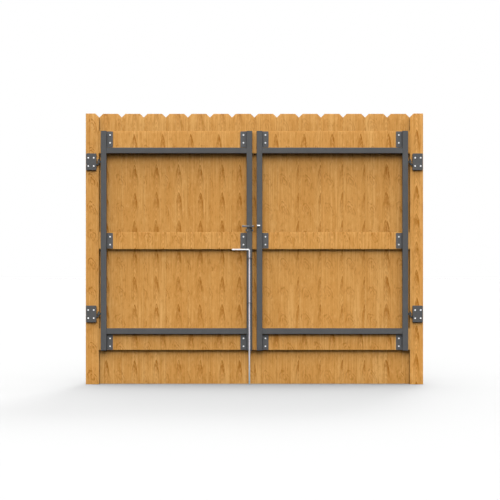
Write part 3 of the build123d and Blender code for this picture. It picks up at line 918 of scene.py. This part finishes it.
class GATE_OT_posts(bpy.types.Operator):
    """Posts with eased edges and one dog-ear on the gate side"""

    bl_idname = "gate.posts"
    bl_label = "Posts"

    def execute(self, context):
        timber = context.scene.gate_timber
        for index, side in enumerate(SIDES):
            ears = (0.0, timber.ear) if side == "left" else (timber.ear, 0.0)
            place_board(
                side + "_post_timber", side + "_post", ears, timber.ease * POST_EASE, LONG_ROWS,
                timber_material(side + " post timber", timber.post_colour, POST_LOOK[side]),
                "posts", "post_timber", POST_SEED + index, (FLAME_ASIDE[side], POST_FLAME_UP))
        return {"FINISHED"}


class GATE_OT_pickets(bpy.types.Operator):
    """Pickets with eased edges and dog-ears, each with its own grain"""

    bl_idname = "gate.pickets"
    bl_label = "Pickets"

    def execute(self, context):
        timber = context.scene.gate_timber
        material = timber_material("picket timber", timber.picket_colour, PICKET_LOOK, timber.head_figure)
        for row, side in enumerate(SIDES):
            for number, aside in zip(PICKETS, PICKET_FLAME_ASIDE[side]):
                node = f"{side}_picket_{number}"
                inner = timber.meeting_grow if number == PICKETS[0] else timber.board_grow
                outer = timber.post_grow if number == PICKETS[-1] else timber.board_grow
                grow = (outer, inner) if side == "left" else (inner, outer)
                place_board(
                    node + "_board", node, (timber.ear, timber.ear), timber.ease, LONG_ROWS, material,
                    leaf_of(side), "picket_timber", PICKET_SEED + SIDE_SEEDS * row + number,
                    (aside, PICKET_FLAME_UP), (*grow, timber.foot_grow))
        return {"FINISHED"}


class GATE_OT_rails(bpy.types.Operator):
    """Rails with eased edges and upright figure like the pickets"""

    bl_idname = "gate.rails"
    bl_label = "Rails"

    def execute(self, context):
        timber = context.scene.gate_timber
        material = timber_material("rail timber", timber.rail_colour, RAIL_LOOK)
        inner, outer = timber.meeting_grow, timber.post_grow
        for row, side in enumerate(SIDES):
            grow = (outer, inner, 0.0) if side == "left" else (inner, outer, 0.0)
            for number, level in enumerate(RAILS):
                node = f"{side}_{level}_rail"
                place_board(
                    node + "_timber", node, (0.0, 0.0), timber.ease, RAIL_ROWS, material,
                    leaf_of(side), "rail_timber", RAIL_SEED + SIDE_SEEDS * row + number,
                    (FLAME_ASIDE[side], RAIL_FLAME_UP[level]), grow)
        return {"FINISHED"}


class GATE_OT_steelwork(bpy.types.Operator):
    """Powder coat on the frames, hinges and latch, with painted light on the tabs, rubbed on the bolt, zinc
    on the rod and keeper
    """

    bl_idname = "gate.steelwork"
    bl_label = "Steelwork"

    def execute(self, context):
        slots = {part["node"]: part["material_slot"] for part in frame["record"]["subparts"]}
        finish = {"frame_steel": coat_material("dark powder coat"), "zinc_steel": zinc_material("dull zinc")}
        own_finish = {"latch_bolt": coat_material("rubbed powder coat")}
        for side in SIDES:
            # Tabs take a lighter copy of the coat: painted light against their shade beside the stiles
            for kind in STILES:
                own_finish[f"{side}_{kind}_stile_tabs"] = coat_material("thin powder coat")
        for node, piece in frame["nodes"].items():
            if slots[node] in finish:
                piece.data.materials.clear()
                piece.data.materials.append(own_finish.get(node, finish[slots[node]]))
        return {"FINISHED"}


def tab_bolt_seats(side, kind):
    """Seats of the bolts on one stile's tabs, two at each rail."""
    low, high = node_box(f"{side}_{kind}_stile_tabs")
    x = (low[0] + high[0]) / 2 + INWARD[side] * TAB_BOLT_ASIDE[kind]
    for level in RAILS:
        middle = sum(tab_span(side, level)) / 2 + TAB_BOLT_LIFT[level]
        for step in (-0.5, 0.5):
            yield x, low[1], middle + step * TAB_BOLT_STEP


def bracket_bolt_seats(side, level):
    """Seats of the four bolts on a hinge bracket."""
    node = f"{side}_{level}_hinge_bracket"
    low, high = node_box(node)
    x = outer_edge(side, node) + INWARD[side] * BRACKET_BOLT_IN
    z = (low[2] + high[2]) / 2 - BRACKET_BOLT_DOWN
    for step_x in (-BRACKET_BOLT_X, BRACKET_BOLT_X):
        for step_z in (-BRACKET_BOLT_Z, BRACKET_BOLT_Z):
            yield x + step_x, low[1], z + step_z


class GATE_OT_bolts(bpy.types.Operator):
    """Hexagon bolts on the tabs and the hinge brackets"""

    bl_idname = "gate.bolts"
    bl_label = "Bolts"

    def execute(self, context):
        steel = context.scene.gate_steel
        zinc = zinc_material("bright zinc")
        for side in SIDES:
            heads = [bolt_shape(steel, centre) for kind in STILES for centre in tab_bolt_seats(side, kind)]
            add_piece(side + "_tab_bolts", *join(heads), zinc, leaf_of(side), "zinc_steel")
        heads = [
            bolt_shape(steel, centre)
            for side in SIDES for level in HINGES for centre in bracket_bolt_seats(side, level)
        ]
        add_piece("hinge_bracket_bolts", *join(heads), zinc, "posts", "zinc_steel")
        return {"FINISHED"}


class GATE_OT_screws(bpy.types.Operator):
    """Black socket screws in the latch plate and under the keeper, their black a painted shadow, and the
    latch's plain stop pin
    """

    bl_idname = "gate.screws"
    bl_label = "Latch screws"

    def execute(self, context):
        radius = context.scene.gate_steel.screw_radius
        black = coat_material("black screw steel")
        low = node_box("latch_body")[0]
        stile_low, stile_high = node_box("left_meeting_stile")
        y = stile_low[1] - LATCH_PLATE
        x = stile_high[0] - LATCH_SCREW_IN
        heads = [screw_shape(radius, (x, y, low[2] + up)) for up in LATCH_SCREW_UP]
        add_piece("latch_screws", *join(heads), black, "left_leaf", "frame_steel")
        pin = nail_shape(radius, (low[0] + LATCH_PIN_IN, y, low[2] + LATCH_PIN_UP), FRONT)
        add_piece("latch_pin", *pin, coat_material("rubbed powder coat"), "left_leaf", "frame_steel")
        low, high = node_box("latch_keeper")
        centre = ((low[0] + high[0]) / 2, stile_low[1], low[2] - KEEPER_SHADOW_SCREW_DOWN)
        screw = screw_shape(radius * KEEPER_SHADOW_SCREW_SIZE, centre)
        add_piece("keeper_screw", *screw, black, "right_leaf", "frame_steel")
        return {"FINISHED"}


class GATE_OT_nails(bpy.types.Operator):
    """Nail heads on the far side, two in each picket at each rail"""

    bl_idname = "gate.nails"
    bl_label = "Nails"

    def execute(self, context):
        radius = context.scene.gate_timber.nail_radius
        zinc = zinc_material("bright zinc")
        for side in SIDES:
            heads = []
            for number in PICKETS:
                low, high = node_box(f"{side}_picket_{number}")
                for level in RAILS:
                    rail_low, rail_high = node_box(f"{side}_{level}_rail")
                    for step in (-1.0, 1.0):
                        x = (low[0] + high[0]) / 2 + step * NAIL_ASIDE
                        z = (rail_low[2] + rail_high[2]) / 2 + step * NAIL_UP
                        heads.append(nail_shape(radius, (x, high[1] - NAIL_SUNK, z), BACK))
            add_piece(side + "_picket_nails", *join(heads), zinc, leaf_of(side), "zinc_steel")
        return {"FINISHED"}


def bar_beads(steel, side):
    """Beads over and under both ends of the crossbars, from front to back."""
    beads = []
    for level in ("bottom", "top"):
        low, high = node_box(f"{side}_{level}_crossbar")
        near, far = low[1] + TUBE_WELD_INSET, high[1] - TUBE_WELD_INSET
        for x, away in ((low[0], RIGHT), (high[0], LEFT)):
            for z, lift in ((low[2], DOWN), (high[2], UP)):
                beads.append(bead_shape(steel, (x, near, z), (x, far, z), away, lift))
    return beads


def tab_beads(steel, side):
    """Upright beads where the tabs meet the stiles."""
    beads = []
    for kind in STILES:
        low = node_box(f"{side}_{kind}_stile_tabs")[0]
        stile_low, stile_high = node_box(f"{side}_{kind}_stile")
        tab_is_right = (side == "left") == (kind == "hinge")
        x, away = (stile_high[0], RIGHT) if tab_is_right else (stile_low[0], LEFT)
        for level in RAILS:
            bottom, top = tab_span(side, level)
            start, end = (x, low[1], bottom + TAB_WELD_INSET), (x, low[1], top - TAB_WELD_INSET)
            beads.append(bead_shape(steel, start, end, away, FRONT))
    return beads


def eye_beads(steel, side):
    """Short upright beads before and behind each eye's lug, against the hinge stile."""
    low, high = node_box(side + "_hinge_eyes")
    x = outer_edge(side, side + "_hinge_stile")
    away = LEFT if side == "left" else RIGHT
    middle = (low[1] + high[1]) / 2
    return [
        bead_shape(steel, (x, y, foot), (x, y, foot + EYE_HEIGHT), away, face, EYE_WELD)
        for foot in (low[2], high[2] - EYE_HEIGHT)
        for y, face in ((middle - LUG_HALF, FRONT), (middle + LUG_HALF, BACK))
    ]


def plate_beads(steel, node, size):
    """Level beads over and under a plate that stands on the left meeting stile."""
    low, high = node_box(node)
    stile_low, stile_high = node_box("left_meeting_stile")
    left, right = stile_low[0] + PLATE_WELD_INSET, stile_high[0] - PLATE_WELD_INSET
    levels = [(high[2], UP)]
    if node == "drop_rod_guides":
        levels = [(low[2], DOWN), (low[2] + GUIDE_PLATE, UP), (high[2] - GUIDE_PLATE, DOWN), *levels]
    y = stile_low[1]
    return [bead_shape(steel, (left, y, z), (right, y, z), FRONT, turn, size) for z, turn in levels]


def collar(side, level):
    """Ring of weld where a pintle leaves its bracket, turned about the pintle's arm."""
    node = f"{side}_{level}_hinge_bracket"
    low, high = node_box(node)
    x = outer_edge(side, node) + INWARD[side] * PINTLE_IN
    centre = (x, low[1] + PINTLE_BACK, (low[2] + high[2]) / 2 - PINTLE_DOWN)
    profile = np.array([(8.8, 0.0), (8.6, 0.5), (7.6, 1.3), (6.8, 2.2), (6.1, 3.4), (5.0, 3.4)]) * MM
    return turned(profile, ROUND_SIDES, RIGHT if side == "left" else LEFT, centre)


class GATE_OT_welds(bpy.types.Operator):
    """Fillet welds at the crossbars, tabs, hinge eyes, latch, rod guides and pintles"""

    bl_idname = "gate.welds"
    bl_label = "Welds"

    def execute(self, context):
        steel = context.scene.gate_steel
        coat = coat_material("dark powder coat")
        for side in SIDES:
            beads = bar_beads(steel, side) + tab_beads(steel, side) + eye_beads(steel, side)
            add_piece(side + "_frame_welds", *join(beads), coat, leaf_of(side), "frame_steel")
        beads = plate_beads(steel, "drop_rod_guides", GUIDE_WELD)
        beads += plate_beads(steel, "latch_body", LATCH_WELD)
        add_piece("left_fitting_welds", *join(beads), coat, leaf_of("left"), "frame_steel")
        collars = [collar(side, level) for side in SIDES for level in HINGES]
        add_piece("pintle_welds", *join(collars), coat, "posts", "frame_steel")
        return {"FINISHED"}


class GATE_OT_plugs(bpy.types.Operator):
    """Plastic plugs in the open feet of the stiles"""

    bl_idname = "gate.plugs"
    bl_label = "Tube plugs"

    def execute(self, context):
        plastic = coat_material("black plug plastic")
        for side in SIDES:
            plugs = [plug_shape(*node_box(f"{side}_{kind}_stile")) for kind in STILES]
            add_piece(side + "_stile_plugs", *join(plugs), plastic, leaf_of(side), "frame_steel")
        return {"FINISHED"}


# Stage


def seen_mask(layer):
    """One where a ray comes from the camera, a reflection or through glass, and zero for spread light."""
    path = layer.node("LightPath", {}).outputs
    seen = layer.math("MAXIMUM", path["Is Camera Ray"], path["Is Glossy Ray"])
    return layer.math("MAXIMUM", seen, path["Is Transmission Ray"])


def make_sun(scene, settings, floor):
    """Soft light from behind, on the floor only, which lays the gate's shadow before it."""
    lamp = bpy.data.lights.new("back_light", "SUN")
    lamp.energy = settings.sun
    lamp.angle = settings.sun_spread
    holder = bpy.data.objects.new("back_light", lamp)
    scene.collection.objects.link(holder)
    holder.rotation_euler = (settings.sun_height - math.pi / 2, 0.0, -settings.sun_turn)
    lit = bpy.data.collections.new("back_light_floor")
    lit.objects.link(floor)
    holder.light_linking.receiver_collection = lit


def make_world(scene, settings):
    """Sky and soft boxes that light the object, and plain white where the sky itself is seen.

    The sky is its share at the horizon, and the rest times a power of the direction's height. The boxes
    are a smooth step of the cosine of the angle to the nearer box's middle.
    """
    world = bpy.data.worlds.new("studio_sky")
    world.use_nodes = True
    scene.world = world
    layer = NodeLayer(world.node_tree)
    _, depth, height = layer.split(layer.value("TexCoord", {}, "Generated"))
    low = settings.sky * settings.sky_low
    rise = layer.math("POWER", layer.math("MAXIMUM", height, 0.0), settings.sky_power)
    level = layer.math("ABSOLUTE", depth) * math.cos(settings.box_height)
    near = height * math.sin(settings.box_height) + level
    boxes = layer.ease(near, math.cos(settings.box_edge), math.cos(settings.box_core), 0.0, settings.box)
    nodes = world.node_tree.nodes
    lighting = nodes["Background"]
    layer.put(lighting.inputs["Color"], WHITE)
    layer.put(lighting.inputs["Strength"], rise * (settings.sky - low) + low + boxes)
    seen = layer.node("Background", {"Color": WHITE, "Strength": 1.0})
    mix = layer.node("MixShader", {0: seen_mask(layer), 1: lighting.outputs[0], 2: seen.outputs[0]})
    layer.put(nodes["World Output"].inputs["Surface"], mix.outputs[0])


def make_floor(scene, settings, middle):
    """Wide matt floor that keeps the gate's shadow."""
    corners = [
        (middle + x * FLOOR_REACH, y * FLOOR_REACH, 0.0)
        for x, y in ((-1.0, -1.0), (1.0, -1.0), (1.0, 1.0), (-1.0, 1.0))
    ]
    mesh = bpy.data.meshes.new("studio_floor")
    mesh.from_pydata(corners, [], [(0, 1, 2, 3)])
    floor = bpy.data.objects.new("studio_floor", mesh)
    scene.collection.objects.link(floor)
    material = bpy.data.materials.new("studio floor white")
    material.use_nodes = True
    layer = NodeLayer(material.node_tree)
    bounce, shown = ((value, value, value, 1.0) for value in (settings.floor_bounce, settings.floor_seen))
    shader = material.node_tree.nodes["Principled BSDF"]
    colour = layer.mix(seen_mask(layer), bounce, shown)
    for label, value in (("Base Color", colour), ("Roughness", 1.0), ("Specular IOR Level", 0.0)):
        layer.put(shader.inputs[label], value)
    mesh.materials.append(material)
    return floor


class GATE_OT_stage(bpy.types.Operator):
    """White floor, a sky with two soft boxes, one soft light on the floor and the camera"""

    bl_idname = "gate.stage"
    bl_label = "Stage"

    def execute(self, context):
        scene = context.scene
        settings = scene.gate_stage
        middle = (CAD_BOX[0][0] + CAD_BOX[1][0]) / 2
        scene.view_settings.view_transform = "Standard"
        scene.cycles.diffuse_bounces = 0
        make_world(scene, settings)
        make_sun(scene, settings, make_floor(scene, settings, middle))
        camera = bpy.data.cameras.new("gate_camera")
        camera.sensor_width = SENSOR
        camera.lens = settings.focal
        camera.clip_end = VIEW_REACH
        viewer = bpy.data.objects.new("gate_camera", camera)
        scene.collection.objects.link(viewer)
        picket_front = node_box("left_picket_1")[0][1]
        viewer.location = (middle - settings.aside, picket_front - settings.distance, settings.height)
        viewer.rotation_euler = (math.pi / 2, 0.0, 0.0)
        scene.camera = viewer
        return {"FINISHED"}


class GATE_PT_sidebar(bpy.types.Panel):
    """Steps that finish the gate"""

    bl_idname = "GATE_PT_sidebar"
    bl_label = "Picket gate"
    bl_space_type = "VIEW_3D"
    bl_region_type = "UI"
    bl_category = "Gate"

    def draw(self, context):
        for operator in OPERATORS:
            self.layout.operator(operator.bl_idname)


OPERATORS = (
    GATE_OT_posts, GATE_OT_pickets, GATE_OT_rails, GATE_OT_steelwork, GATE_OT_bolts,
    GATE_OT_screws, GATE_OT_nails, GATE_OT_welds, GATE_OT_plugs, GATE_OT_stage,
)
SETTINGS = {
    "gate_timber": GateTimberSettings, "gate_steel": GateSteelSettings, "gate_stage": GateStageSettings}
CLASSES = (*SETTINGS.values(), *OPERATORS, GATE_PT_sidebar)


def register():
    """Register the classes and hang the settings on the scene."""
    for cls in CLASSES:
        bpy.utils.register_class(cls)
    for name, group in SETTINGS.items():
        setattr(bpy.types.Scene, name, PointerProperty(type=group))


def unregister():
    """Take the settings and the classes away again."""
    for name in SETTINGS:
        delattr(bpy.types.Scene, name)
    for cls in reversed(CLASSES):
        bpy.utils.unregister_class(cls)


def main():
    """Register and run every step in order."""
    register()
    for operator in OPERATORS:
        group, step = operator.bl_idname.split(".")
        getattr(getattr(bpy.ops, group), step)()


if __name__ == "__main__":
    main()
